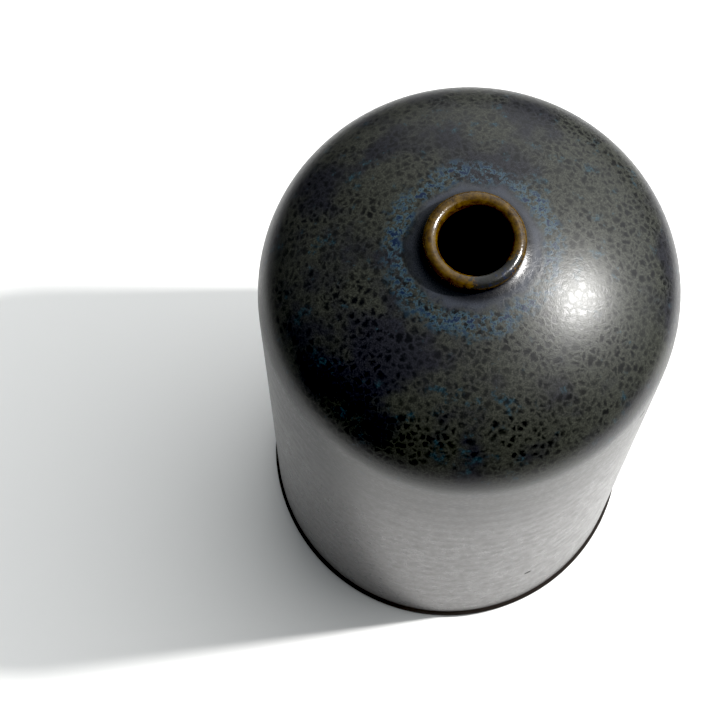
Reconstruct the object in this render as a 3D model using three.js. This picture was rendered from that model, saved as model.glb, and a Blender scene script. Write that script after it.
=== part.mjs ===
// A wheel-thrown stoneware bottle vase, built up in the order the potter builds it: a foot ring and
// floor, a thrown lower wall, a thrown upper section that closes in to a round shoulder, a collared
// neck with a rolled lip, and the glaze coats that lie on the clay. Every piece is a solid of
// revolution about Z. Millimetres, +Z up, origin at the centre of the foot's resting plane.
import * as THREE from "three";

// Driving dimensions.
const FOOT_RADIUS = 60; // widest line of the flared foot edge
const WALL_FOOT_RADIUS = 59; // glazed wall just above the foot
const WALL_TOP_RADIUS = 51.6; // glazed wall where the shoulder starts
const SHOULDER_HEIGHT = 167; // where the wall ends and the shoulder starts to close in
const SHOULDER_RISE = 32.6; // from there to the crown that the shoulder would close to
const CROWN_EXPONENT = 1.8; // 2 is an ellipse, less is a more pointed crown
const TURN_EXPONENT = 2.4; // 2 is an ellipse, more is a fuller turn out of the wall
const LIP_HEIGHT = 202; // centre of the rolled lip
const LIP_RING_RADIUS = 10; // from the vase's axis to the centre of the roll
const LIP_ROLL_RADIUS = 1.35; // clay roll, before its glaze

// Thicknesses.
const WALL_THICKNESS = 5;
const FLOOR_THICKNESS = 7;
const GLAZE_THICKNESS = 0.6;
const LIP_GLAZE_THICKNESS = 0.3;
const LINER_THICKNESS = 0.3;

// Foot, floor and joints.
const FOOT_HEIGHT = 5;
const FOOT_INNER_RADIUS = 48;
const FOOT_BEVEL = 1.2;
const FLARE_HEIGHT = 2.2; // height of the foot's widest line
const FLARE_ROUND = 1.5; // how high the rounded edge goes on either side of that line
const FLARE_UNDERCUT = 1.8; // how far the resting face stays inside the widest line
const FLARE_LOWER_SHARE = 0.5; // share of the flare still there where the edge rounds under
const FLARE_UPPER_SHARE = 0.7; // and where it rounds over towards the wall
const INNER_CORNER_RADIUS = 9;
const GROOVE_DEPTH = 3;
const COLLAR_FOOT_RADIUS = 16;
const COLLAR_ARCH = 1.4; // rise of the collar's underside towards the bore

// The neck's hollow curve, from the collar's foot up to the underside of the lip.
const NECK_SWEEP = 0.8; // how far along the shoulder's slope the curve keeps flat
const NECK_WAIST_DEPTH = 0.3;
const NECK_WAIST_BELOW_LIP = 3;

// The lip, in degrees round the roll from straight outwards.
const ROLL_SEAT_ANGLE = -75;
const ROLL_BORE_ANGLE = 180;
const LIP_GLAZE_START = -48;
const LIP_GLAZE_END = 172;
const UNDER_LIP_WIDTH = 0.4; // the glaze's edge below the lip, out from the roll's seat
const UNDER_LIP_DROP = 0.3;

// Fineness of the turned surfaces.
const SIDES = 32;
const SHOULDER_STEPS = 8;
const NECK_STEPS = 4;
const CORNER_STEPS = 3;
const ROLL_STEPS = 8;

// A profile point: distance from the axis and height.
const point = (radius, height) => new THREE.Vector2(radius, height);

const lerp = THREE.MathUtils.lerp;

// Radius of the clay's outer face on the straight wall at a height.
const clayRadius = (height) =>
  lerp(WALL_FOOT_RADIUS, WALL_TOP_RADIUS, height / SHOULDER_HEIGHT) - GLAZE_THICKNESS;

// Superellipse arc from the top of the wall in to endRadius, for a shell whose outer face is
// inset millimetres inside the finished surface.
function shoulderArc(inset, endRadius) {
  const radius = WALL_TOP_RADIUS - inset;
  const rise = SHOULDER_RISE - inset;
  const across = 2 / CROWN_EXPONENT;
  const up = 2 / TURN_EXPONENT;
  const endAngle = Math.acos((endRadius / radius) ** (1 / across));
  const points = [];
  for (let step = 0; step <= SHOULDER_STEPS; step++) {
    const angle = (endAngle * step) / SHOULDER_STEPS;
    points.push(
      point(radius * Math.cos(angle) ** across, SHOULDER_HEIGHT + rise * Math.sin(angle) ** up),
    );
  }
  return points;
}

// Circular arc of profile points about a centre, angles in degrees from the outward direction.
function arc(radius, height, arcRadius, from, to, steps) {
  const points = [];
  for (let step = 0; step <= steps; step++) {
    const angle = THREE.MathUtils.degToRad(lerp(from, to, step / steps));
    points.push(point(radius + arcRadius * Math.cos(angle), height + arcRadius * Math.sin(angle)));
  }
  return points;
}

// The same run of points moved square to itself: outwards where distance is positive.
function offset(points, distance) {
  return points.map((p, i) => {
    const before = points[Math.max(i - 1, 0)];
    const after = points[Math.min(i + 1, points.length - 1)];
    const along = after.clone().sub(before).normalize();
    return point(p.x + along.y * distance, p.y - along.x * distance);
  });
}

const backwards = (points) => [...points].reverse();

// Clay outside, from the wall's foot up to the seat of the lip.
const floorTop = FOOT_HEIGHT + FLOOR_THICKNESS;
const clayShoulder = shoulderArc(GLAZE_THICKNESS, COLLAR_FOOT_RADIUS);
const collarFoot = clayShoulder[SHOULDER_STEPS];
const lipArc = arc(
  LIP_RING_RADIUS,
  LIP_HEIGHT,
  LIP_ROLL_RADIUS,
  ROLL_SEAT_ANGLE,
  ROLL_BORE_ANGLE,
  ROLL_STEPS,
);
const lipSeat = lipArc[0];
const shoulderSlope = collarFoot.clone().sub(clayShoulder[SHOULDER_STEPS - 1]).normalize();
const neckCurve = new THREE.CubicBezierCurve(
  collarFoot,
  collarFoot.clone().addScaledVector(shoulderSlope, (collarFoot.x - lipSeat.x) * NECK_SWEEP),
  point(lipSeat.x - NECK_WAIST_DEPTH, LIP_HEIGHT - NECK_WAIST_BELOW_LIP),
  lipSeat,
);
const clayNeck = neckCurve.getPoints(NECK_STEPS);
const glazeFoot = point(clayRadius(FOOT_HEIGHT), FOOT_HEIGHT);
const wallFoot = point(clayRadius(floorTop), floorTop);
const clayWall = [glazeFoot, wallFoot, clayShoulder[0]];

// Glaze outside: the same line moved out by the coat's thickness, closed at the foot and lip.
const clayOutside = [...clayWall, ...clayShoulder.slice(1), ...clayNeck.slice(1)];
const glazeOutside = offset(clayOutside, GLAZE_THICKNESS);
const shoulderStart = clayWall.length - 1;
glazeOutside[0] = point(WALL_FOOT_RADIUS, FOOT_HEIGHT);
const underLip = point(lipSeat.x + UNDER_LIP_WIDTH, lipSeat.y - UNDER_LIP_DROP);
glazeOutside[glazeOutside.length - 1] = underLip;

// Clay inside, from the middle of the floor up the wall to the bore of the neck.
const inset = GLAZE_THICKNESS + WALL_THICKNESS;
const innerRadius = clayRadius(floorTop) - WALL_THICKNESS;
const boreRadius = LIP_RING_RADIUS - LIP_ROLL_RADIUS;
const innerCorner = arc(
  innerRadius - INNER_CORNER_RADIUS,
  floorTop + INNER_CORNER_RADIUS,
  INNER_CORNER_RADIUS,
  -90,
  0,
  CORNER_STEPS,
);
const innerShoulder = shoulderArc(inset, COLLAR_FOOT_RADIUS);
const collarUnderside = innerShoulder[SHOULDER_STEPS];
const boreFoot = point(boreRadius, collarUnderside.y + COLLAR_ARCH);
const boreTop = point(boreRadius, lipSeat.y);
const clayInside = [...innerCorner, ...innerShoulder, boreFoot, boreTop];
const linerInside = offset(clayInside, -LINER_THICKNESS);
const linerFloor = floorTop + LINER_THICKNESS;
linerInside[0] = point(innerCorner[0].x, linerFloor);
const linerTop = point(boreRadius - LINER_THICKNESS, lipSeat.y);
linerInside[linerInside.length - 1] = linerTop;

// The groove in the wall's top edge that the shoulder's bevelled edge is luted into.
const seam = point(
  (clayShoulder[0].x + innerShoulder[0].x) / 2,
  SHOULDER_HEIGHT - GROOVE_DEPTH,
);

const vase = new THREE.Group();

// Adds one turned piece: a closed profile, listed counter-clockwise, spun about Z.
function turned(name, material, profile) {
  const geometry = new THREE.LatheGeometry(profile, SIDES);
  geometry.rotateX(Math.PI / 2);
  const mesh = new THREE.Mesh(geometry, material);
  mesh.name = name;
  vase.add(mesh);
}

// Repeats the first point at the end, so that a ring's profile closes on itself.
const ring = (points) => [...points, points[0]];

const bareClay = new THREE.MeshStandardMaterial({ color: 0x5a4334, roughness: 0.85, metalness: 0 });
const wallGlaze = new THREE.MeshStandardMaterial({ color: 0x3c3d42, roughness: 0.35, metalness: 0 });
const shoulderGlaze = new THREE.MeshStandardMaterial({
  color: 0x2b2f31,
  roughness: 0.4,
  metalness: 0,
});
const amberGlaze = new THREE.MeshStandardMaterial({ color: 0x7a5428, roughness: 0.2, metalness: 0 });
const linerGlaze = new THREE.MeshStandardMaterial({ color: 0x3a2a1a, roughness: 0.3, metalness: 0 });

// Foot ring: bare clay, bevelled inside and out, with the flared edge the glaze stops above.
turned(
  "foot_ring",
  bareClay,
  ring([
    point(FOOT_INNER_RADIUS, 0),
    point(FOOT_RADIUS - FLARE_UNDERCUT, 0),
    point(lerp(WALL_FOOT_RADIUS, FOOT_RADIUS, FLARE_LOWER_SHARE), FLARE_HEIGHT - FLARE_ROUND),
    point(FOOT_RADIUS, FLARE_HEIGHT),
    point(lerp(WALL_FOOT_RADIUS, FOOT_RADIUS, FLARE_UPPER_SHARE), FLARE_HEIGHT + FLARE_ROUND),
    point(WALL_FOOT_RADIUS, FOOT_HEIGHT),
    glazeFoot,
    point(FOOT_INNER_RADIUS - FOOT_BEVEL, FOOT_HEIGHT),
    point(FOOT_INNER_RADIUS - FOOT_BEVEL, FOOT_BEVEL),
  ]),
);

// Floor: the disc the wall was opened from, trimmed underneath inside the foot ring.
turned("base_floor", bareClay, [
  point(0, FOOT_HEIGHT),
  point(FOOT_INNER_RADIUS - FOOT_BEVEL, FOOT_HEIGHT),
  glazeFoot,
  wallFoot,
  innerCorner[0],
  point(0, floorTop),
]);

// Lower wall: thrown as a cylinder, rounded into the floor, with a groove along its top edge.
turned(
  "body_wall",
  bareClay,
  ring([wallFoot, clayShoulder[0], seam, innerShoulder[0], ...backwards(innerCorner)]),
);

// Shoulder: thrown upside down, closed in, and luted into the groove.
turned("shoulder_dome", bareClay, ring([...clayShoulder, ...backwards(innerShoulder), seam]));

// Neck collar: a coil thrown onto the shoulder's opening and drawn up to seat the lip.
turned("neck_collar", bareClay, ring([...clayNeck, boreTop, boreFoot, collarUnderside]));

// Lip: the collar's edge rolled over into a round bead.
turned("lip_roll", bareClay, ring([...lipArc, boreTop]));

// Outer glaze over the wall.
turned(
  "wall_glaze",
  wallGlaze,
  ring([
    ...glazeOutside.slice(0, shoulderStart + 1),
    ...backwards(clayOutside.slice(0, shoulderStart + 1)),
  ]),
);

// Outer glaze over the shoulder and up the neck to the underside of the lip.
turned(
  "shoulder_glaze",
  shoulderGlaze,
  ring([
    ...glazeOutside.slice(shoulderStart),
    ...backwards(clayOutside.slice(shoulderStart)),
  ]),
);

// Amber glaze over the lip, thin where it breaks over the bead.
const lipCoat = arc(
  LIP_RING_RADIUS,
  LIP_HEIGHT,
  LIP_ROLL_RADIUS + LIP_GLAZE_THICKNESS,
  LIP_GLAZE_START,
  LIP_GLAZE_END,
  ROLL_STEPS,
);
turned(
  "lip_glaze",
  amberGlaze,
  ring([underLip, ...lipCoat, linerTop, boreTop, ...backwards(lipArc)]),
);

// Liner glaze, poured inside: floor, wall, shoulder and the bore of the neck.
turned("liner_glaze", linerGlaze, [
  point(0, floorTop),
  ...clayInside,
  ...backwards(linerInside),
  point(0, linerFloor),
]);

export default vase;
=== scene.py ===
import math

import bpy
import numpy as np
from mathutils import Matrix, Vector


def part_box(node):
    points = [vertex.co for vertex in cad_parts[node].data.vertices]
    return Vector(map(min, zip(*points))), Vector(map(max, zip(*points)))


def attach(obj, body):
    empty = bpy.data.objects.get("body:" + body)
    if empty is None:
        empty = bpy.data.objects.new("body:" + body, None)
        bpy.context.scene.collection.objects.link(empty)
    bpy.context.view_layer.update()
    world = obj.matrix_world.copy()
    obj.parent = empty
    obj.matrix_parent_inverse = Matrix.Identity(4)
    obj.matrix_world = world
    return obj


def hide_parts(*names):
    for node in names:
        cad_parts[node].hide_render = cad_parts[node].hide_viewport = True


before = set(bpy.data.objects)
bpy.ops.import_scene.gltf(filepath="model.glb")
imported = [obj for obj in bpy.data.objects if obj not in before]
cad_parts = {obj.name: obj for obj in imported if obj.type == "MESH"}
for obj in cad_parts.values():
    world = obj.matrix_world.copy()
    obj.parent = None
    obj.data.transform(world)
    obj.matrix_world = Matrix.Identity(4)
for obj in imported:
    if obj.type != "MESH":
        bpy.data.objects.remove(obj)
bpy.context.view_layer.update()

# The vase stands at the origin and is round about the vertical axis. The frame's pieces are kept here,
# and the finished shapes take their sizes from the frame's boxes.
MM = 0.001

# ---------------------------------------------------------------------------------------------
# The camera: a medium long lens held almost straight above the vase, a little in front of it and
# turned slightly. The lens is raised a little on its film, as the framing needs.

FILM_WIDTH = 36.0
LENS_LENGTH = 74.7
LENS_RISE = 0.111
CAMERA_TILT = 13.393
CAMERA_LEAN = 1.347
CAMERA_TURN = 8.619
CAMERA_PLACE = (0.0, -0.12156, 0.5157)

camera_lens = bpy.data.cameras.new("studio_camera")
camera_lens.sensor_width = FILM_WIDTH
camera_lens.lens = LENS_LENGTH
camera_lens.shift_y = LENS_RISE
camera_lens.clip_start = 0.01
studio_camera = bpy.data.objects.new("studio_camera", camera_lens)
studio_camera.location = CAMERA_PLACE
studio_camera.rotation_euler = [math.radians(a) for a in (CAMERA_TILT, CAMERA_LEAN, CAMERA_TURN)]
bpy.context.collection.objects.link(studio_camera)
bpy.context.scene.camera = studio_camera

# ---------------------------------------------------------------------------------------------
# Foot ring: a turned ring of dark brown stoneware left bare, with a soft flared edge. It is
# trimmed from the thrown base when the clay is leather hard, and is what the vase stands on. Its outer
# edge is painted darker: partly the clay's own dark edge, partly painted contact shade and dark reflection.


def lerp(a, b, t):
    return a + (b - a) * t


def line(start, end, steps):
    """Points evenly spaced from start to end, both included."""
    t = np.linspace(0.0, 1.0, steps + 1)[:, None]
    return lerp(np.array(start), np.array(end), t)


def arc(centre, radius, first, last, steps):
    """Points on a circle: the centre plus radius times (cosine, sine), with the angles in degrees."""
    a = np.radians(np.linspace(first, last, steps + 1))
    return np.array(centre) + radius * np.stack([np.cos(a), np.sin(a)], 1)


def bezier(a, b, c, d, steps):
    """Cubic curve: the four points weighted by the terms of ((1 - t) + t) cubed."""
    t = np.linspace(0.0, 1.0, steps + 1)[:, None]
    s = 1.0 - t
    return s**3 * np.array(a) + 3 * s**2 * t * np.array(b) + 3 * s * t**2 * np.array(c) + t**3 * np.array(d)


def outline(*runs):
    """The runs joined end to end, with a point that repeats the one before it left out."""
    points = np.concatenate([np.atleast_2d(run) for run in runs])
    step = np.linalg.norm(np.diff(points, axis=0), axis=1)
    points = points[np.concatenate([[True], step > 1e-7])]
    if np.linalg.norm(points[0] - points[-1]) < 1e-7:
        points = points[:-1]
    return points


def edge_normals(points, closed):
    """Unit vector square to the outline at each point, pointing out of a counter-clockwise outline."""
    if closed:
        along = np.roll(points, -1, 0) - np.roll(points, 1, 0)
    else:
        along = np.gradient(points, axis=0)
    along /= np.linalg.norm(along, axis=1, keepdims=True)
    return np.stack([along[:, 1], -along[:, 0]], 1)


CREASE_ANGLE = 38.0


def turned(name, points, sides, solid_core=False, relief=None, worked=None):
    """An outline of (radius, height) spun about the vertical axis.

    Point j of the outline, turned by angle a, stands at (r cos a, r sin a, z). The first points, as many
    as are worked, are then moved square to the outline by relief(a, r, z). With a solid core the
    outline's two ends are on the axis.
    """
    angles = np.linspace(0.0, 2 * np.pi, sides, endpoint=False)
    rim = points[1:-1] if solid_core else points
    count = len(rim)
    radius = np.broadcast_to(rim[:, 0], (sides, count))
    height = np.broadcast_to(rim[:, 1], (sides, count))
    turn = np.broadcast_to(angles[:, None], (sides, count))
    if relief is not None:
        square = np.zeros((count, 2))
        square[:worked] = edge_normals(rim[:worked], False)
        move = relief(turn, radius, height)
        radius = radius + move * square[:, 0]
        height = height + move * square[:, 1]
    places = np.stack([radius * np.cos(turn), radius * np.sin(turn), height], -1).reshape(-1, 3)
    i = np.arange(sides)[:, None]
    j = np.arange(count if not solid_core else count - 1)[None, :]
    here, beside = i * count, (i + 1) % sides * count
    up = (j + 1) % count
    quads = np.stack(np.broadcast_arrays(here + j, beside + j, beside + up, here + up), -1).reshape(-1, 4)
    faces = quads.tolist()
    if solid_core:
        low, high = len(places), len(places) + 1
        places = np.concatenate([places, [[0, 0, points[0][1]], [0, 0, points[-1][1]]]])
        ring = np.arange(sides)
        after = (ring + 1) % sides
        faces += np.stack([np.full(sides, low), after * count, ring * count], 1).tolist()
        top = count - 1
        faces += np.stack([np.full(sides, high), ring * count + top, after * count + top], 1).tolist()
    mesh = bpy.data.meshes.new(name)
    mesh.from_pydata(places.tolist(), [], faces)
    mesh.shade_smooth()
    mesh.set_sharp_from_angle(angle=math.radians(CREASE_ANGLE))
    mesh.update()
    piece = bpy.data.objects.new(name, mesh)
    bpy.context.collection.objects.link(piece)
    return piece


def fitted(piece, node, material):
    """The piece stands for its frame node, rides with the body and takes its finish."""
    piece.data.materials.append(material)
    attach(piece, "root")
    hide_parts(node)


def node(tree, kind, sockets=None, **settings):
    """A new node. A socket's value may be another node's output, which is linked, or a plain value."""
    made = tree.nodes.new(kind)
    for key, value in settings.items():
        setattr(made, key, value)
    for socket, value in (sockets or {}).items():
        if isinstance(value, bpy.types.NodeSocket):
            tree.links.new(value, made.inputs[socket])
        else:
            made.inputs[socket].default_value = value
    return made


def maths(tree, operation, a, b=0.0, clamp=False):
    return node(tree, "ShaderNodeMath", {0: a, 1: b}, operation=operation, use_clamp=clamp).outputs[0]


def vector_maths(tree, operation, a, b):
    return node(tree, "ShaderNodeVectorMath", {0: a, 1: b}, operation=operation).outputs[0]


def between(tree, value, low, high, at_low=0.0, at_high=1.0):
    """Smooth step: at_low below low, at_high above high."""
    sockets = {"Value": value, "From Min": low, "From Max": high, "To Min": at_low, "To Max": at_high}
    return node(tree, "ShaderNodeMapRange", sockets, interpolation_type="SMOOTHSTEP").outputs[0]


def blended(tree, factor, a, b):
    """Colour a where the factor is 0, colour b where it is 1."""
    return node(tree, "ShaderNodeMix", {0: factor, 6: a, 7: b}, data_type="RGBA").outputs[2]


def noise(tree, place, scale, detail=2.0, roughness=0.5):
    sockets = {"Vector": place, "Scale": scale, "Detail": detail, "Roughness": roughness}
    return node(tree, "ShaderNodeTexNoise", sockets)


def new_group(name, inputs, outputs):
    """An empty effect with named inputs and outputs, each given as {name: (socket kind, default)}."""
    tree = bpy.data.node_groups.new(name, "ShaderNodeTree")
    for socket, (kind, default) in inputs.items():
        made = tree.interface.new_socket(socket, in_out="INPUT", socket_type=kind)
        if default is not None:
            made.default_value = default
    for socket, kind in outputs.items():
        tree.interface.new_socket(socket, in_out="OUTPUT", socket_type=kind)
    return tree, tree.nodes.new("NodeGroupInput").outputs, tree.nodes.new("NodeGroupOutput").inputs


def new_material(name):
    material = bpy.data.materials.new(name)
    material.use_nodes = True
    tree = material.node_tree
    place = tree.nodes.new("ShaderNodeTexCoord").outputs["Object"]
    return material, tree, tree.nodes["Principled BSDF"], place


def raised(tree, shader, height, distance, strength=1.0):
    """Bump: the height is in units of distance, in metres."""
    sockets = {"Height": height, "Distance": distance, "Strength": strength}
    bump = node(tree, "ShaderNodeBump", sockets)
    tree.links.new(bump.outputs["Normal"], shader.inputs["Normal"])


# Fired clay: brown, with sand grains, dark iron spots and the fine lines of the trimming tool.
GRAIN_SCALE = 1400.0
IRON_SPOT_SCALE = 260.0
TRIM_LINE_SCALE = 1500.0

clay_grain, given, gives = new_group(
    "clay_grain",
    {"Vector": ("NodeSocketVector", None), "Clay": ("NodeSocketColor", (0.1, 0.06, 0.04, 1.0))},
    {"Color": "NodeSocketColor", "Height": "NodeSocketFloat"},
)
grains = noise(clay_grain, given["Vector"], GRAIN_SCALE, 3.0, 0.65).outputs[0]
drift = noise(clay_grain, given["Vector"], 90.0, 3.0).outputs[0]
spots = node(
    clay_grain,
    "ShaderNodeTexVoronoi",
    {"Vector": given["Vector"], "Scale": IRON_SPOT_SCALE},
).outputs["Distance"]
spot_mask = between(clay_grain, spots, 0.08, 0.2, 1.0, 0.0)
lines = node(
    clay_grain,
    "ShaderNodeTexWave",
    {"Vector": given["Vector"], "Scale": TRIM_LINE_SCALE / 6.3, "Distortion": 1.5, "Detail": 2.0},
    bands_direction="Z",
).outputs["Fac"]
pale = vector_maths(clay_grain, "MULTIPLY", given["Clay"], (1.5, 1.45, 1.4))
mixed = blended(clay_grain, between(clay_grain, drift, 0.35, 0.7), given["Clay"], pale)
mixed = blended(clay_grain, maths(clay_grain, "MULTIPLY", spot_mask, 0.75), mixed, (0.012, 0.008, 0.006, 1))
clay_grain.links.new(mixed, gives["Color"])
relief_sum = maths(clay_grain, "ADD", grains, maths(clay_grain, "MULTIPLY", lines, 0.35))
clay_grain.links.new(relief_sum, gives["Height"])


def clay_material(name, colour):
    material, tree, shader, place = new_material(name)
    grain = node(tree, "ShaderNodeGroup", node_tree=clay_grain)
    tree.links.new(place, grain.inputs["Vector"])
    grain.inputs["Clay"].default_value = colour
    tree.links.new(grain.outputs["Color"], shader.inputs["Base Color"])
    shader.inputs["Roughness"].default_value = 0.82
    raised(tree, shader, grain.outputs["Height"], 0.06 * MM)
    return material


FOOT_INNER_RADIUS = 48 * MM
FOOT_BEVEL = 1.2 * MM
FLARE_HEIGHT = 2.2 * MM
FLARE_UNDERCUT = 1.8 * MM
FINE_SIDES = 448
CLAY_SIDES = 224

foot_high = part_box("foot_ring")[1]
wall_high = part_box("wall_glaze")[1]
foot_radius, foot_top = foot_high.x, foot_high.z
wall_foot_radius = wall_high.x
GLAZE_THICKNESS = 0.6 * MM

flare = bezier(
    (foot_radius - FLARE_UNDERCUT + 0.2 * MM, 0.0),
    (foot_radius - 0.1 * MM, 0.4 * MM),
    (foot_radius + 0.9 * MM, FLARE_HEIGHT),
    (wall_foot_radius, foot_top),
    22,
)
flare[:, 0] = np.minimum(flare[:, 0], foot_radius)
BROWN_CLAY = (0.09, 0.055, 0.036, 1.0)
# Painted contact shade: the foot's outer edge is painted near black, for the shade where it meets the table
# and its dark reflection, over the clay's own darker edge.
FOOT_EDGE_SHADE = (0.010, 0.0065, 0.0048, 1)
FOOT_SHADE_START, FOOT_SHADE_FULL = foot_radius - 3.4 * MM, foot_radius - 1.8 * MM

foot_clay = clay_material("bare_clay_foot", BROWN_CLAY)
tree = foot_clay.node_tree
shader = tree.nodes["Principled BSDF"]
clay_colour = shader.inputs["Base Color"].links[0].from_socket
foot_place = tree.nodes["Texture Coordinate"].outputs["Object"]
foot_flat = vector_maths(tree, "MULTIPLY", foot_place, (1.0, 1.0, 0.0))
foot_reach = node(tree, "ShaderNodeVectorMath", {0: foot_flat}, operation="LENGTH").outputs["Value"]
painted_foot_shade = between(tree, foot_reach, FOOT_SHADE_START, FOOT_SHADE_FULL)
tree.links.new(blended(tree, painted_foot_shade, clay_colour, FOOT_EDGE_SHADE), shader.inputs["Base Color"])
foot_ring = turned(
    "foot_ring_piece",
    outline(
        (FOOT_INNER_RADIUS, 0.0),
        flare,
        (wall_foot_radius - GLAZE_THICKNESS, foot_top),
        line((wall_foot_radius - GLAZE_THICKNESS, foot_top), (FOOT_INNER_RADIUS - FOOT_BEVEL, foot_top), 10),
        arc((FOOT_INNER_RADIUS, FOOT_BEVEL), FOOT_BEVEL, 180, 270, 8),
    ),
    FINE_SIDES,
)
shader.inputs["Specular IOR Level"].default_value = 0.15
fitted(foot_ring, "foot_ring", foot_clay)

# ---------------------------------------------------------------------------------------------
# Base floor: the thick clay disc that the wall was opened from. Underneath it is trimmed in
# shallow spiral rings, inside the foot ring.

floor_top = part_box("base_floor")[1].z
shoulder_low, shoulder_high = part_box("shoulder_glaze")
wall_top, wall_top_radius = shoulder_low.z, shoulder_high.x
WALL_THICKNESS = 5 * MM
INNER_CORNER_RADIUS = 9 * MM
TRIM_RING_PITCH = 3.4 * MM
TRIM_RING_DEPTH = 0.12 * MM


def clay_radius(height):
    """Outer face of the wall's clay: a straight line from foot to shoulder, less the glaze."""
    return lerp(wall_foot_radius, wall_top_radius, height / wall_top) - GLAZE_THICKNESS


def trimming(turn, radius, height):
    """Shallow rings on the underside: a cosine of the distance from the middle, wound into a spiral."""
    rings = 0.5 - 0.5 * np.cos(2 * np.pi * radius / TRIM_RING_PITCH + turn)
    edge = np.clip((FOOT_INNER_RADIUS - FOOT_BEVEL - radius) / (2 * MM), 0.0, 1.0)
    return -TRIM_RING_DEPTH * rings * edge


inner_radius = clay_radius(floor_top) - WALL_THICKNESS
corner_start = inner_radius - INNER_CORNER_RADIUS
floor_clay = clay_material("bare_clay_floor", BROWN_CLAY)
trimmed_face = line((0.0, foot_top), (FOOT_INNER_RADIUS - FOOT_BEVEL, foot_top), 110)
base_floor = turned(
    "base_floor_piece",
    outline(
        trimmed_face,
        (clay_radius(foot_top), foot_top),
        (clay_radius(floor_top), floor_top),
        (corner_start, floor_top),
        (0.0, floor_top),
    ),
    CLAY_SIDES,
    solid_core=True,
    relief=trimming,
    worked=len(trimmed_face) - 1,
)
fitted(base_floor, "base_floor", floor_clay)

# ---------------------------------------------------------------------------------------------
# Body wall: the lower section, thrown as a slightly tapering cylinder and rounded into the floor.
# Its top edge has a groove that the shoulder is luted into with slip.

SHOULDER_RISE = 32.6 * MM
CROWN_POWER = 2 / 1.8
TURN_POWER = 2 / 2.4
SHOULDER_EASE = 8 * MM
GROOVE_DEPTH = 3 * MM
COLLAR_FOOT_RADIUS = 16 * MM

wall_lean = (wall_foot_radius - wall_top_radius) / wall_top


def shoulder_curve(inset, end_radius, steps):
    """Radius times the cosine to the crown's power, and rise times the sine to the turn's power.

    It starts with the wall's own lean, which dies away up the curve as the height h times e to the
    minus h over the ease.
    """
    radius, rise = wall_top_radius - inset, SHOULDER_RISE - inset
    last = math.acos((end_radius / radius) ** (1 / CROWN_POWER))
    a = last * np.linspace(0.0, 1.0, steps + 1) ** 1.15
    across, up = radius * np.cos(a) ** CROWN_POWER, rise * np.sin(a) ** TURN_POWER
    across -= wall_lean * up * np.exp(-up / SHOULDER_EASE)
    return np.stack([across, wall_top + up], 1)


clay_inset = GLAZE_THICKNESS
inner_inset = GLAZE_THICKNESS + WALL_THICKNESS
clay_shoulder = shoulder_curve(clay_inset, COLLAR_FOOT_RADIUS, 70)
inner_shoulder = shoulder_curve(inner_inset, COLLAR_FOOT_RADIUS, 60)
inner_corner = arc((corner_start, floor_top + INNER_CORNER_RADIUS), INNER_CORNER_RADIUS, -90, 0, 14)
seam = ((clay_shoulder[0, 0] + inner_shoulder[0, 0]) / 2, wall_top - GROOVE_DEPTH)

wall_clay = clay_material("bare_clay_wall", BROWN_CLAY)
body_wall = turned(
    "body_wall_piece",
    outline(
        line((clay_radius(floor_top), floor_top), clay_shoulder[0], 40),
        seam,
        line(inner_shoulder[0], inner_corner[-1], 40),
        inner_corner[::-1],
    ),
    CLAY_SIDES,
)
fitted(body_wall, "body_wall", wall_clay)

# ---------------------------------------------------------------------------------------------
# Shoulder dome: thrown upside down as a closed-in bowl, then turned over and luted into the
# wall's groove with a tongue of clay.

shoulder_clay = clay_material("bare_clay_shoulder", BROWN_CLAY)
shoulder_dome = turned(
    "shoulder_dome_piece", outline(clay_shoulder, inner_shoulder[::-1], seam), CLAY_SIDES
)
fitted(shoulder_dome, "shoulder_dome", shoulder_clay)

# ---------------------------------------------------------------------------------------------
# Neck collar: a coil of clay thrown onto the shoulder's opening and drawn up in a hollow curve
# to seat the lip.

COLLAR_ARCH = 1.4 * MM
NECK_SWEEP = 0.8
NECK_WAIST_DEPTH = 0.3 * MM
NECK_WAIST_BELOW_LIP = 3 * MM
LIP_ROLL_RADIUS = 1.35 * MM
LIP_COAT_THICKNESS = 0.3 * MM
ROLL_SEAT_ANGLE = -75

lip_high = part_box("lip_glaze")[1]
coat_radius = LIP_ROLL_RADIUS + LIP_COAT_THICKNESS
lip_ring_radius = lip_high.x - coat_radius
lip_height = lip_high.z - coat_radius
lip_centre = (lip_ring_radius, lip_height)
bore_radius = lip_ring_radius - LIP_ROLL_RADIUS
lip_roll_arc = arc(lip_centre, LIP_ROLL_RADIUS, ROLL_SEAT_ANGLE, 180, 48)
lip_seat = lip_roll_arc[0]


def neck_curve(start, before, seat, steps):
    """Hollow curve that leaves the shoulder along its slope and comes up under the lip."""
    slope = (start - before) / np.linalg.norm(start - before)
    leave = start + slope * (start[0] - seat[0]) * NECK_SWEEP
    arrive = (seat[0] - NECK_WAIST_DEPTH, lip_height - NECK_WAIST_BELOW_LIP)
    return bezier(start, leave, arrive, seat, steps)


clay_neck = neck_curve(clay_shoulder[-1], clay_shoulder[-2], lip_seat, 30)
collar_underside = inner_shoulder[-1]
bore_foot = (bore_radius, collar_underside[1] + COLLAR_ARCH)
bore_top = (bore_radius, lip_seat[1])
collar_clay = clay_material("bare_clay_collar", BROWN_CLAY)
neck_collar = turned(
    "neck_collar_piece", outline(clay_neck, bore_top, bore_foot, collar_underside), CLAY_SIDES
)
fitted(neck_collar, "neck_collar", collar_clay)

# ---------------------------------------------------------------------------------------------
# Lip roll: the collar's edge, rolled over into a small round bead that stiffens the mouth.

lip_clay = clay_material("bare_clay_lip", BROWN_CLAY)
lip_roll = turned("lip_roll_piece", outline(lip_roll_arc, bore_top), CLAY_SIDES)
fitted(lip_roll, "lip_roll", lip_clay)

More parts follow.
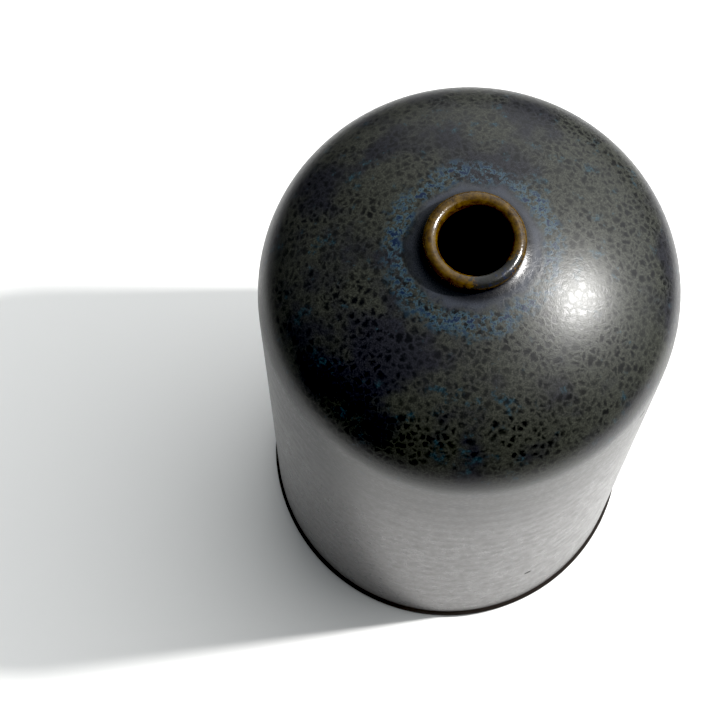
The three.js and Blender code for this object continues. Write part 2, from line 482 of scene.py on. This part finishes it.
# ---------------------------------------------------------------------------------------------
# Liner glaze: a thin brown glaze poured in and out again, which makes the inside watertight. It
# covers the floor, the wall, the underside of the shoulder and the bore of the neck. Its browns are
# painted nearly black, a painted shade for the dark inside of the neck.

LINER_THICKNESS = 0.3 * MM
# Painted shade: the liner's browns are darkened nearly to black, for the shade down the bore.
LINER_SHADE_THICK, LINER_SHADE_THIN = (0.003, 0.0016, 0.0008, 1), (0.009, 0.0045, 0.0015, 1)

clay_inside = outline(inner_corner, inner_shoulder, bore_foot, bore_top)
liner_face = clay_inside - LINER_THICKNESS * edge_normals(clay_inside, False)
liner_face[0] = (corner_start, floor_top + LINER_THICKNESS)
liner_face[-1] = (bore_radius - LINER_THICKNESS, lip_seat[1])
liner_top = liner_face[-1]

liner_material, tree, shader, place = new_material("liner_glaze_brown_shaded")
runs = noise(tree, place, 130.0, 3.0).outputs[0]
colour = blended(tree, between(tree, runs, 0.35, 0.7), LINER_SHADE_THICK, LINER_SHADE_THIN)
tree.links.new(colour, shader.inputs["Base Color"])
shader.inputs["Roughness"].default_value = 0.3
raised(tree, shader, runs, 0.2 * MM)
liner_glaze = turned(
    "liner_glaze_piece",
    outline((0.0, floor_top), clay_inside, liner_face[::-1], (0.0, floor_top + LINER_THICKNESS)),
    CLAY_SIDES,
    solid_core=True,
)
fitted(liner_glaze, "liner_glaze", liner_material)

# ---------------------------------------------------------------------------------------------
# Wall glaze: a satin, warm grey coat over the wall. It stops just above the foot ring, where it thins to
# nearly black: partly the thin glaze, partly painted contact shade and dark reflection. The throwing rings
# of the clay show through it as faint level ridges.

THROWING_PITCH = 7.5 * MM
THROWING_DEPTH = 0.03 * MM
FINE_RING_PITCH = 1.7 * MM
FINE_RING_DEPTH = 0.0015 * MM
ROUNDNESS_ERROR = 0.10 * MM


def hand_thrown(turn, radius, height):
    """Always inwards: a slow oval and three-sided error, level throwing rings and finer ones."""
    oval = 0.5 + 0.3 * np.cos(2 * turn + 0.8) + 0.2 * np.cos(3 * turn - 1.1 + 30 * height)
    wander = 0.35 * np.sin(turn + 2.0) + 0.2 * np.sin(2 * turn)
    rings = 0.5 + 0.5 * np.sin(2 * np.pi * height / THROWING_PITCH + wander + 2.0 * np.sin(60 * height))
    fine = 0.5 + 0.5 * np.sin(2 * np.pi * height / FINE_RING_PITCH + 2 * wander)
    return -(ROUNDNESS_ERROR * oval + THROWING_DEPTH * rings + FINE_RING_DEPTH * fine)


def glaze_relief(turn, radius, height):
    """The hand-thrown relief, fading out towards the neck."""
    neck = np.clip((radius - 14 * MM) / (16 * MM), 0.0, 1.0)
    return hand_thrown(turn, radius, height) * neck


# The glaze: dark cells parted by a soft, pale olive network, drifting to violet and teal in places,
# with fine crystals all over it that glitter in the light.
SPOT_SCALE = 520.0
SMALL_SPOT_SCALE = 1150.0
CRYSTAL_SCALE = 3000.0
STIR_REACH = 3.4 * MM

mottled_glaze, given, gives = new_group(
    "mottled_glaze",
    {
        "Vector": ("NodeSocketVector", None),
        "Mottle": ("NodeSocketFloat", 1.0),
        "Spot": ("NodeSocketColor", (0.0008, 0.0008, 0.0011, 1.0)),
        "Ground": ("NodeSocketColor", (0.025, 0.0265, 0.021, 1.0)),
        "Violet": ("NodeSocketColor", (0.0095, 0.0098, 0.0135, 1.0)),
        "Teal": ("NodeSocketColor", (0.012, 0.030, 0.040, 1.0)),
    },
    {"Color": "NodeSocketColor", "Roughness": "NodeSocketFloat", "Height": "NodeSocketFloat"},
)
stir = noise(mottled_glaze, given["Vector"], 480.0, 5.0, 0.65).outputs["Color"]
stir = vector_maths(mottled_glaze, "SUBTRACT", stir, (0.5, 0.5, 0.5))
stir = vector_maths(mottled_glaze, "MULTIPLY", stir, (STIR_REACH, STIR_REACH, STIR_REACH))
stirred = vector_maths(mottled_glaze, "ADD", given["Vector"], stir)
sockets = {"Vector": stirred, "Scale": SPOT_SCALE}
rim = node(mottled_glaze, "ShaderNodeTexVoronoi", sockets, feature="DISTANCE_TO_EDGE").outputs["Distance"]
sockets = {"Vector": stirred, "Scale": SMALL_SPOT_SCALE}
small_middle = node(mottled_glaze, "ShaderNodeTexVoronoi", sockets).outputs["Distance"]
spots = between(mottled_glaze, rim, -0.06, 0.34)
small_spots = between(mottled_glaze, small_middle, 0.15, 0.6, 1.0, 0.0)
cloud = noise(mottled_glaze, given["Vector"], 75.0, 4.0, 0.6).outputs[0]
crowding = between(mottled_glaze, cloud, 0.35, 0.7, 1.0, 0.62)
spots = maths(mottled_glaze, "MULTIPLY", spots, crowding)
spots = maths(mottled_glaze, "MAXIMUM", spots, maths(mottled_glaze, "MULTIPLY", small_spots, 0.4))
violet_cloud = noise(mottled_glaze, given["Vector"], 48.0, 4.0, 0.6).outputs[0]
violet_mask = between(mottled_glaze, violet_cloud, 0.46, 0.62)
ground = blended(mottled_glaze, violet_mask, given["Ground"], given["Violet"])
teal_cloud = noise(mottled_glaze, given["Vector"], 190.0, 5.0, 0.7).outputs[0]
ground = blended(mottled_glaze, between(mottled_glaze, teal_cloud, 0.58, 0.68), ground, given["Teal"])
crystals = noise(mottled_glaze, given["Vector"], CRYSTAL_SCALE, 2.0, 0.7).outputs[0]
glint = between(mottled_glaze, crystals, 0.35, 0.7, 0.55, 1.35)
ground = vector_maths(mottled_glaze, "MULTIPLY", ground, glint)
plain = blended(mottled_glaze, 0.25, given["Spot"], given["Violet"])
colour = blended(mottled_glaze, spots, ground, given["Spot"])
colour = blended(mottled_glaze, given["Mottle"], plain, colour)
mottled_glaze.links.new(colour, gives["Color"])
rougher = maths(mottled_glaze, "MULTIPLY", maths(mottled_glaze, "SUBTRACT", 1.0, spots), 0.09)
rougher = maths(mottled_glaze, "MULTIPLY", rougher, given["Mottle"])
mottled_glaze.links.new(rougher, gives["Roughness"])
height = maths(mottled_glaze, "SUBTRACT", crystals, maths(mottled_glaze, "MULTIPLY", spots, 0.7))
mottled_glaze.links.new(height, gives["Height"])


def satin_glaze(name, mottle_low, mottle_high, least):
    """A satin glaze whose mottle grows with height, from least at mottle_low to full at mottle_high."""
    material, tree, shader, place = new_material(name)
    up = node(tree, "ShaderNodeSeparateXYZ", {0: place}).outputs["Z"]
    glaze = node(tree, "ShaderNodeGroup", node_tree=mottled_glaze)
    tree.links.new(place, glaze.inputs["Vector"])
    tree.links.new(between(tree, up, mottle_low, mottle_high, least, 1.0), glaze.inputs["Mottle"])
    shader.inputs["IOR"].default_value = 1.41
    return material, tree, shader, place, glaze


def fleck(tree, place, spot, size):
    """One small round flaw: 1 inside the size, 0 outside, by the distance from the spot."""
    away = node(tree, "ShaderNodeVectorMath", {0: place, 1: spot}, operation="DISTANCE").outputs["Value"]
    return between(tree, away, 0.6 * size, size, 1.0, 0.0)


def on_wall(bearing, height):
    """The place on the wall's glaze at a bearing in degrees and a height."""
    turn, out = math.radians(bearing), clay_radius(height) + GLAZE_THICKNESS
    return (out * math.cos(turn), out * math.sin(turn), height)


FLECK_COLOUR = (0.002, 0.002, 0.003, 1)
WALL_FLECK, WALL_FLECK_SIZE = on_wall(-57, 48 * MM), 1.5 * MM
EDGE_FLECK, EDGE_FLECK_SIZE = on_wall(-27, 163 * MM), 1.3 * MM
WALL_ROUGHNESS = 0.25
SHOULDER_ROUGHNESS = 0.30
CRYSTAL_RELIEF = 0.016 * MM
MOTTLE_START, MOTTLE_FULL = wall_top - 55 * MM, wall_top + 6 * MM
WALL_MOTTLE = 0.25
WALL_SHARE = 0.8
STREAK_GRAIN = (320.0, 320.0, 210.0)
STREAK_ROUGHNESS = 0.11
FLECK_ROUGHNESS = 0.45
WARM_GREY, WARM_GREY_PALE = (0.0225, 0.0185, 0.0185, 1), (0.0340, 0.0275, 0.0268, 1)
FOOT_BAND_HEIGHT = 2.6 * MM
THIN_GLAZE_AND_SHADE, THIN_ROUGHNESS = (0.005, 0.0035, 0.003, 1), 0.4
WALL_TINT = (1.0, 0.935, 0.925, 1.0)
WALL_RELIEF_SHARE = 0.6

wall_material, tree, shader, place, glaze = satin_glaze(
    "wall_glaze_satin", MOTTLE_START, MOTTLE_FULL, WALL_MOTTLE
)
level = vector_maths(tree, "MULTIPLY", place, STREAK_GRAIN)
streaks = noise(tree, level, 1.0, 5.0, 0.7).outputs[0]
streak_mask = between(tree, streaks, 0.35, 0.7)
warm_grey = blended(tree, streak_mask, WARM_GREY, WARM_GREY_PALE)
up = node(tree, "ShaderNodeSeparateXYZ", {0: place}).outputs["Z"]
below = between(tree, up, MOTTLE_START, MOTTLE_FULL, WALL_SHARE, 0.0)
colour = blended(tree, below, glaze.outputs["Color"], warm_grey)
smoother = maths(tree, "MULTIPLY", below, (WALL_ROUGHNESS - SHOULDER_ROUGHNESS) / WALL_SHARE)
roughness = maths(tree, "ADD", glaze.outputs["Roughness"], maths(tree, "ADD", smoother, SHOULDER_ROUGHNESS))
streakier = maths(tree, "MULTIPLY", streak_mask, maths(tree, "MULTIPLY", below, STREAK_ROUGHNESS))
roughness = maths(tree, "ADD", roughness, streakier)
# Painted contact shade: a band just above the foot is painted nearly black, partly for the thin glaze and
# partly for the shade and dark reflection near the table.
thin_and_shaded = between(tree, up, foot_top, foot_top + FOOT_BAND_HEIGHT, 1.0, 0.0)
flaws = maths(
    tree,
    "MAXIMUM",
    fleck(tree, place, WALL_FLECK, WALL_FLECK_SIZE),
    fleck(tree, place, EDGE_FLECK, EDGE_FLECK_SIZE),
)
colour = blended(tree, flaws, colour, FLECK_COLOUR)
roughness = maths(tree, "ADD", roughness, maths(tree, "MULTIPLY", flaws, FLECK_ROUGHNESS))
tree.links.new(blended(tree, thin_and_shaded, colour, THIN_GLAZE_AND_SHADE), shader.inputs["Base Color"])
roughness = maths(tree, "ADD", roughness, maths(tree, "MULTIPLY", thin_and_shaded, THIN_ROUGHNESS))
tree.links.new(roughness, shader.inputs["Roughness"])
shader.inputs["Specular Tint"].default_value = WALL_TINT
raised(tree, shader, maths(tree, "MULTIPLY", glaze.outputs["Height"], WALL_RELIEF_SHARE), CRYSTAL_RELIEF)

wall_glaze_foot = (wall_foot_radius, foot_top)
wall_glaze_head = shoulder_curve(0.0, COLLAR_FOOT_RADIUS, 2)[0]
wall_face = line(wall_glaze_foot, wall_glaze_head, 150)
wall_glaze = turned(
    "wall_glaze_piece",
    outline(
        wall_face,
        line(clay_shoulder[0], (clay_radius(foot_top), foot_top), 12),
    ),
    FINE_SIDES,
    relief=glaze_relief,
    worked=len(wall_face),
)
fitted(wall_glaze, "wall_glaze", wall_material)

# ---------------------------------------------------------------------------------------------
# Shoulder glaze: the same glaze dipped thicker, so that it mottles as it cools. It runs up the
# neck to the lip, past a ragged ring of blue flecks and a smooth lavender collar. Close under the lip the
# neck is painted near black all round, a painted shadow of the lip.

COLLAR_INSIDE, COLLAR_OUTSIDE = 13.5 * MM, 16.5 * MM
BLUE_STARTS, BLUE_FULL = 15.0 * MM, 17.0 * MM
BLUE_FADES, BLUE_ENDS = 18.5 * MM, 22.0 * MM
SHADED_NECK, NECK_ENDS = 12.2 * MM, 14.4 * MM
EDGE_WANDER = 6 * MM
LAVENDER, NECK_PAINTED_SHADE = (0.025, 0.028, 0.036, 1), (0.003, 0.003, 0.0042, 1)
FLECK_BLUE, FLECK_CORE = (0.026, 0.052, 0.068, 1), (0.0012, 0.0055, 0.020, 1)
FLECK_STRENGTH = 0.85
COLLAR_SMOOTHER = 0.1

under_lip = np.array(lip_seat) + (0.4 * MM, -0.3 * MM)
glaze_shoulder = shoulder_curve(0.0, COLLAR_FOOT_RADIUS + 0.25 * MM, 110)
glaze_neck = neck_curve(glaze_shoulder[-1], glaze_shoulder[-2], under_lip, 36)

shoulder_material, tree, shader, place, glaze = satin_glaze(
    "shoulder_glaze_mottled", MOTTLE_START, MOTTLE_FULL, WALL_MOTTLE
)
flat = vector_maths(tree, "MULTIPLY", place, (1.0, 1.0, 0.0))
from_axis = node(tree, "ShaderNodeVectorMath", {0: flat}, operation="LENGTH").outputs["Value"]
ragged = noise(tree, place, 220.0, 3.0).outputs[0]
edge_wander = maths(tree, "MULTIPLY", maths(tree, "SUBTRACT", ragged, 0.5), EDGE_WANDER)
ring_radius = maths(tree, "ADD", from_axis, edge_wander)
collar_mask = between(tree, ring_radius, COLLAR_INSIDE, COLLAR_OUTSIDE, 1.0, 0.0)
blue_out = between(tree, ring_radius, BLUE_FADES, BLUE_ENDS, 1.0, 0.0)
blue_in = between(tree, ring_radius, BLUE_STARTS, BLUE_FULL)
blue_ring = maths(tree, "MULTIPLY", blue_out, blue_in)
broken = noise(tree, place, 640.0, 6.0, 0.72).outputs[0]
halo = maths(tree, "MULTIPLY", blue_ring, between(tree, broken, 0.47, 0.54))
core = maths(tree, "MULTIPLY", blue_ring, between(tree, broken, 0.535, 0.575))
colour = blended(tree, collar_mask, glaze.outputs["Color"], LAVENDER)
# Painted shadow: close under the lip the neck is painted near black all the way round, for the shadow the
# lip casts.
lip_shade_mask = between(tree, from_axis, SHADED_NECK, NECK_ENDS, 1.0, 0.0)
colour = blended(tree, lip_shade_mask, colour, NECK_PAINTED_SHADE)
colour = blended(tree, maths(tree, "MULTIPLY", halo, FLECK_STRENGTH), colour, FLECK_BLUE)
colour = blended(tree, core, colour, FLECK_CORE)
tree.links.new(colour, shader.inputs["Base Color"])
roughness = maths(tree, "ADD", glaze.outputs["Roughness"], SHOULDER_ROUGHNESS)
roughness = maths(tree, "SUBTRACT", roughness, maths(tree, "MULTIPLY", collar_mask, COLLAR_SMOOTHER))
tree.links.new(roughness, shader.inputs["Roughness"])
raised(tree, shader, glaze.outputs["Height"], CRYSTAL_RELIEF)

shoulder_glaze = turned(
    "shoulder_glaze_piece",
    outline(glaze_shoulder, glaze_neck, clay_neck[::-3], clay_shoulder[::-5]),
    FINE_SIDES,
    relief=glaze_relief,
    worked=len(glaze_shoulder),
)
fitted(shoulder_glaze, "shoulder_glaze", shoulder_material)

# ---------------------------------------------------------------------------------------------
# Lip glaze: the glaze breaks thin over the bead and turns honey amber. On one side a tongue of
# the thicker blue-grey glaze covers it.

LIP_COAT_START, LIP_COAT_END = -48, 172
AMBER_DARK, AMBER_GOLD = (0.014, 0.0062, 0.0005, 1), (0.074, 0.041, 0.0018, 1)
WORN_BROWN, WORN_SHARE = (0.010, 0.0075, 0.005, 1), 0.2
TONGUE_GREY, TONGUE_BLUE = (0.009, 0.0105, 0.011, 1), (0.002, 0.008, 0.024, 1)
TONGUE_BEARING = math.radians(-55)
TONGUE_FULL, TONGUE_ENDS = math.radians(26), math.radians(40)

lip_material, tree, shader, place = new_material("lip_glaze_amber")
axes = node(tree, "ShaderNodeSeparateXYZ", {0: place}).outputs
bearing = maths(tree, "ARCTAN2", axes["Y"], axes["X"])
flow = noise(tree, place, 720.0, 5.0, 0.65).outputs[0]
amber = blended(tree, between(tree, flow, 0.28, 0.72), AMBER_DARK, AMBER_GOLD)
worn = between(tree, axes["Z"], lip_height + 0.9 * MM, lip_height + 1.6 * MM)
amber = blended(tree, maths(tree, "MULTIPLY", worn, WORN_SHARE), amber, WORN_BROWN)
away = maths(tree, "ABSOLUTE", maths(tree, "SUBTRACT", bearing, TONGUE_BEARING))
away = maths(tree, "ADD", away, maths(tree, "MULTIPLY", maths(tree, "SUBTRACT", flow, 0.5), 1.6))
tongue = between(tree, away, TONGUE_FULL, TONGUE_ENDS, 1.0, 0.0)
tongue = maths(tree, "MULTIPLY", tongue, between(tree, axes["Z"], lip_height, lip_height + 0.8 * MM))
grey_blue = blended(tree, between(tree, flow, 0.5, 0.6), TONGUE_GREY, TONGUE_BLUE)
colour = blended(tree, maths(tree, "MULTIPLY", tongue, 0.9), amber, grey_blue)
tree.links.new(colour, shader.inputs["Base Color"])
shader.inputs["Roughness"].default_value = 0.2
shader.inputs["IOR"].default_value = 1.48
raised(tree, shader, flow, 0.08 * MM)

lip_glaze = turned(
    "lip_glaze_piece",
    outline(
        under_lip,
        arc(lip_centre, coat_radius, LIP_COAT_START, LIP_COAT_END, 64),
        liner_top,
        bore_top,
        lip_roll_arc[::-1],
    ),
    FINE_SIDES,
)
fitted(lip_glaze, "lip_glaze", lip_material)

# ---------------------------------------------------------------------------------------------
# The studio: a pale table top, one small bright lamp high on the right, a soft window beside it,
# and a pale room. To a glossy surface the far table looks dark, and so does most of the room.

TABLE_SIZE = 12.0
LIT_TABLE_REACH = 0.3
TABLE_WHITE, FAR_TABLE = (0.845, 0.845, 0.843, 1), (0.07, 0.07, 0.073, 1)

table_mesh = bpy.data.meshes.new("table_top")
half = TABLE_SIZE / 2
corners = [(-half, -half, 0), (half, -half, 0), (half, half, 0), (-half, half, 0)]
table_mesh.from_pydata(corners, [], [(0, 1, 2, 3)])
table_top = bpy.data.objects.new("table_top", table_mesh)
bpy.context.collection.objects.link(table_top)
table_material, tree, shader, place = new_material("table_white")
distance = node(tree, "ShaderNodeVectorMath", {0: place}, operation="LENGTH").outputs["Value"]
far = between(tree, distance, LIT_TABLE_REACH - 0.03, LIT_TABLE_REACH + 0.06)
glossy = tree.nodes.new("ShaderNodeLightPath").outputs["Is Glossy Ray"]
dark = maths(tree, "MULTIPLY", far, glossy)
colour = blended(tree, dark, TABLE_WHITE, FAR_TABLE)
tree.links.new(colour, shader.inputs["Base Color"])
shader.inputs["Roughness"].default_value = 0.9
shader.inputs["Specular IOR Level"].default_value = 0.1
table_mesh.materials.append(table_material)


def lamp(name, shape, size, place, aim, watts, colour):
    """An area lamp of a shape and size, turned to face the aim."""
    data = bpy.data.lights.new(name, "AREA")
    data.shape = shape
    data.size = size
    data.energy = watts
    data.color = colour
    made = bpy.data.objects.new(name, data)
    made.location = place
    toward = Vector(aim) - Vector(place)
    made.rotation_euler = toward.to_track_quat("-Z", "Y").to_euler()
    bpy.context.collection.objects.link(made)
    return made


KEY_PLACE = (0.364, 0.080, 0.604)
MIDDLE = (0.0, 0.0, 0.1)
KEY_ACROSS, KEY_WATTS = 0.026, 6.1
lamp("key_lamp", "DISK", KEY_ACROSS, KEY_PLACE, MIDDLE, KEY_WATTS, (1.0, 0.99, 0.97))

room = bpy.data.worlds.new("room")
room.use_nodes = True
bpy.context.scene.world = room
tree = room.node_tree
background = tree.nodes["Background"]
paths = tree.nodes.new("ShaderNodeLightPath").outputs
BRIGHT_SIDE = (0.62, 0.78, 0.10)
LEFT_SIDE = (-0.92, 0.25, 0.30)
WINDOW_TOWARDS = (0.50, 0.17, 0.85)
WINDOW_ACROSS = (-0.32, 0.95, 0.0)
WINDOW_UPRIGHT = (-0.81, -0.27, 0.53)
outward = tree.nodes.new("ShaderNodeTexCoord").outputs["Generated"]


def along(direction):
    """How far each ray from the vase runs in a direction: their dot product."""
    product = node(tree, "ShaderNodeVectorMath", {0: outward, 1: direction}, operation="DOT_PRODUCT")
    return product.outputs["Value"]


upward = along((0.0, 0.0, 1.0))
bright_side = between(tree, along(BRIGHT_SIDE), -0.1, 0.95)
pane = between(tree, maths(tree, "ABSOLUTE", along(WINDOW_ACROSS)), 0.35, 0.62, 1.0, 0.0)
upright = maths(tree, "ABSOLUTE", along(WINDOW_UPRIGHT))
pane = maths(tree, "MULTIPLY", pane, between(tree, upright, 0.06, 0.13, 1.0, 0.0))
pane = maths(tree, "MULTIPLY", pane, between(tree, along(WINDOW_TOWARDS), 0.0, 0.3))
seen_glossy = blended(tree, between(tree, upward, 0.45, 1.0), (0.0, 0.0, 0.0, 1), (0.37, 0.39, 0.415, 1))
seen_glossy = blended(tree, bright_side, seen_glossy, (1.55, 1.59, 1.61, 1))
left_side = between(tree, along(LEFT_SIDE), 0.55, 0.95)
seen_glossy = blended(tree, left_side, seen_glossy, (0.26, 0.27, 0.275, 1))
seen_glossy = blended(tree, pane, seen_glossy, (4.1, 4.1, 4.2, 1))
seen_matte = blended(tree, bright_side, (0.18, 0.193, 0.198, 1), (2.95, 2.99, 2.97, 1))
lighting = blended(tree, paths["Is Glossy Ray"], seen_matte, seen_glossy)
lighting = blended(tree, paths["Is Camera Ray"], lighting, (0.93, 0.935, 0.94, 1))
tree.links.new(lighting, background.inputs["Color"])

# The picture is printed a little hard, with the deepest darks closed up.
BLACK_LEVEL = 0.010
view = bpy.context.scene.view_settings
view.view_transform = "Standard"
view.use_curve_mapping = True
view.curve_mapping.black_level = (BLACK_LEVEL, BLACK_LEVEL, BLACK_LEVEL)
view.curve_mapping.update()
